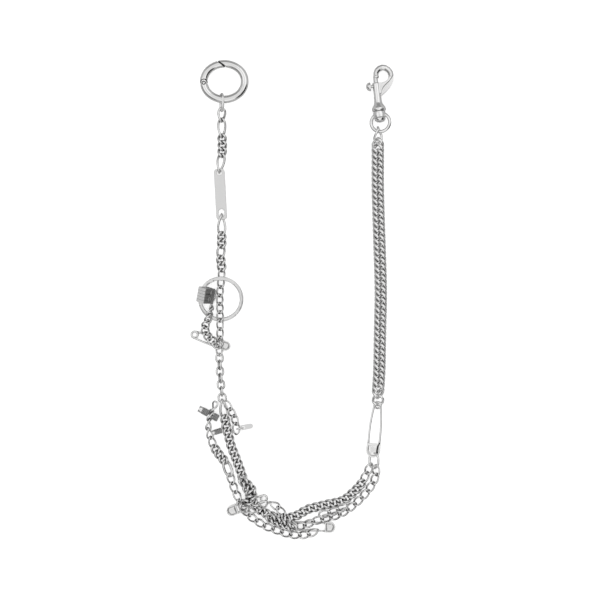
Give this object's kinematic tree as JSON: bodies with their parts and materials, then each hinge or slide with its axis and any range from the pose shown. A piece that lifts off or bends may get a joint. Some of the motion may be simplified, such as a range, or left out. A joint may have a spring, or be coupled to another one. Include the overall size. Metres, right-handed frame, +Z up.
{
  "type": "trouser chain",
  "caption": "Silver trouser chain laid in a U: mixed curb, cable and open links between a spring ring and a swivel snap hook, with a plate, split ring, padlock and safety pins.",
  "frame": {"origin": "centre of the footprint, on the surface that the chain lies on", "axes": "+Z up from the surface; +Y towards the spring ring and the snap hook at the two open ends of the U; +X from the spring ring's side to the hook's side"},
  "size_m": [0.1384, 0.3253, 0.0155],
  "materials": {
    "cast_silver": "polished silver plate on cast metal, soft highlights",
    "chain": "silver-plated wire, bright on top, dark between the links",
    "plate_silver": "fine satin plate",
    "dark_silver": "oxidised silver with bright edges",
    "pin_silver": "plain bright steel wire and strip"
  },
  "bodies": {
    "chain": {"spring_ring": "cast_silver", "first_link": "chain", "upper_links": "chain", "name_plate": "plate_silver", "lower_links": "chain", "split_ring": "pin_silver", "padlock_body": "dark_silver", "padlock_shackle": "pin_silver", "side_chain": "chain", "cable_chain": "chain", "safety_pin_1": "pin_silver", "safety_pin_2": "pin_silver", "safety_pin_3": "pin_silver", "safety_pin_4": "pin_silver", "barrel_charm": "dark_silver", "bar_tag": "plate_silver", "tag_ring": "chain", "left_strand": "chain", "loop_strand": "chain", "right_branch": "chain", "main_curb": "chain", "middle_strand": "chain", "outer_strand": "chain", "joint_ring": "chain", "curb_jump_ring": "chain", "curb_chain": "chain", "coupling_link": "chain", "swivel_eye": "cast_silver"},
    "gate": {"ring_gate": "cast_silver"},
    "hook": {"hook_body": "cast_silver"},
    "slide_bolt": {"bolt": "cast_silver"}
  },
  "joints": [
    {"name": "gate", "type": "hinge", "parent": "chain", "child": "gate", "pos_m": [-0.06003, 0.14667, 0.00354], "axis": [0, -0.0698, -0.9976], "range_deg": [0, 40], "stiffness_Nm_per_rad": 0.02, "springref_deg": -11.46},
    {"name": "swivel", "type": "hinge", "parent": "chain", "child": "hook", "pos_m": [0.0596, 0.1208, 0.0053], "axis": [-0.1094, 0.9905, -0.0837], "continuous": true},
    {"name": "bolt_slide", "type": "slide", "parent": "hook", "child": "slide_bolt", "axis": [0.1094, -0.9905, 0.0837], "range_m": [0, 0.006], "stiffness_N_per_m": 150, "springref_m": -0.002}
  ]
}
